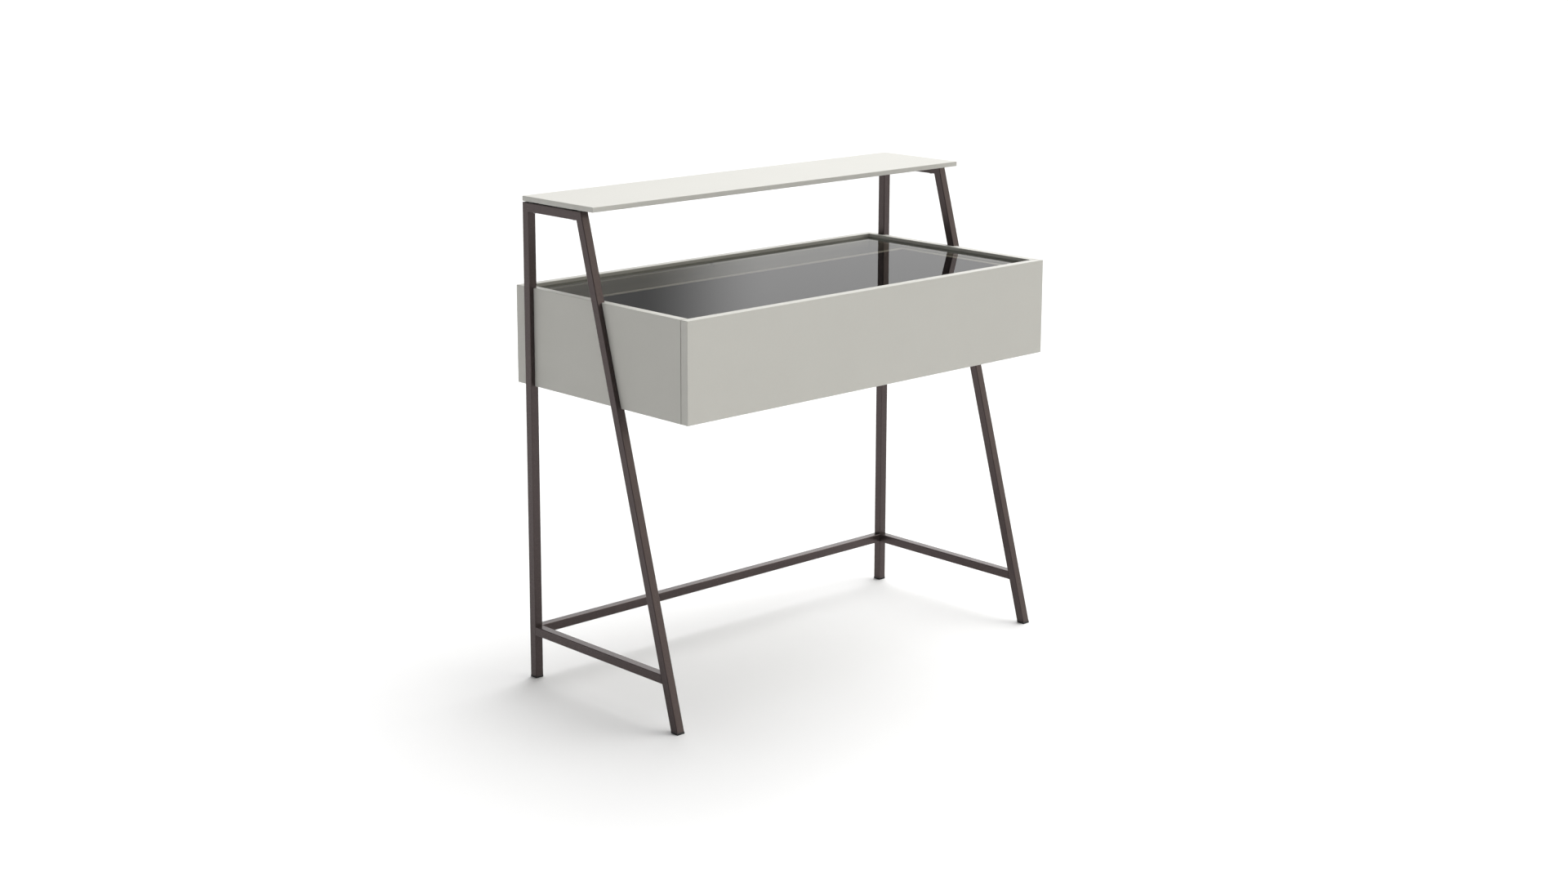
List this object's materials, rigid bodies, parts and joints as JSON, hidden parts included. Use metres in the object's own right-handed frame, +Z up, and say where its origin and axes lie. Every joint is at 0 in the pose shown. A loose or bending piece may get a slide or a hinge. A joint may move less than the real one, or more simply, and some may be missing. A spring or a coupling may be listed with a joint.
{
  "type": "dressing table",
  "caption": "Lacquered case with a smoked glass top and one handle-less drawer, let into two trapezoid frames of square steel tube with a narrow raised shelf.",
  "frame": {"origin": "on the floor under the middle of the table's bounding box", "axes": "+X along the width to the right, -Y out of the drawer front, +Z up"},
  "size_m": [1, 0.506, 0.973],
  "materials": {
    "lacquer": "matt grey-beige lacquer on fibreboard",
    "bronze_steel": "satin bronze-brown powder coat",
    "zinc_steel": "zinc plated",
    "zinc_casting": "die cast",
    "beech": "raw",
    "black_plastic": "matt",
    "clear_bumper": "clear polyurethane",
    "smoked_glass": "smoked grey, ground edges",
    "suede_liner": "dark grey suede",
    "grey_board": "melamine"
  },
  "bodies": {
    "case": {"left_rear_post": "bronze_steel", "left_top_rail": "bronze_steel", "left_front_leg": "bronze_steel", "left_low_rail": "bronze_steel", "right_rear_post": "bronze_steel", "right_top_rail": "bronze_steel", "right_front_leg": "bronze_steel", "right_low_rail": "bronze_steel", "rear_stretcher": "bronze_steel", "rear_foot_caps": "black_plastic", "front_foot_caps": "black_plastic", "shelf_board": "lacquer", "shelf_washers": "black_plastic", "shelf_screws": "zinc_steel", "left_side_panel": "lacquer", "right_side_panel": "lacquer", "back_panel": "lacquer", "bottom_panel": "lacquer", "front_tie_bar": "bronze_steel", "left_glass_ledge": "lacquer", "right_glass_ledge": "lacquer", "back_glass_ledge": "lacquer", "ledge_screws": "zinc_steel", "glass_bumpers": "clear_bumper", "glass_top": "smoked_glass", "case_dowels": "beech", "cam_bolts": "zinc_steel", "cam_locks": "zinc_casting", "frame_bolts": "zinc_steel", "rivet_nuts": "zinc_steel", "drawer_bumpers": "clear_bumper", "left_cabinet_runner": "zinc_steel", "right_cabinet_runner": "zinc_steel", "cabinet_runner_screws": "zinc_steel"},
    "left_middle": {"left_middle_runner": "zinc_steel"},
    "right_middle": {"right_middle_runner": "zinc_steel"},
    "drawer": {"drawer_front": "lacquer", "drawer_front_screws": "zinc_steel", "drawer_inner_front": "lacquer", "drawer_left_side": "lacquer", "drawer_right_side": "lacquer", "drawer_back": "lacquer", "drawer_bottom": "grey_board", "drawer_liner": "suede_liner", "drawer_dowels": "beech", "left_drawer_runner": "zinc_steel", "right_drawer_runner": "zinc_steel", "drawer_runner_screws": "zinc_steel"}
  },
  "joints": [
    {"name": "drawer_slide", "type": "slide", "parent": "case", "child": "drawer", "axis": [0, -1, 0], "range_m": [0, 0.33]},
    {"name": "left_middle_slide", "type": "slide", "parent": "case", "child": "left_middle", "axis": [0, -1, 0], "range_m": [0, 0.165]},
    {"name": "right_middle_slide", "type": "slide", "parent": "case", "child": "right_middle", "axis": [0, -1, 0], "range_m": [0, 0.165]}
  ],
  "couplings": [
    {"joint": "left_middle_slide", "follows": "drawer_slide", "ratio": 0.5},
    {"joint": "right_middle_slide", "follows": "drawer_slide", "ratio": 0.5}
  ]
}
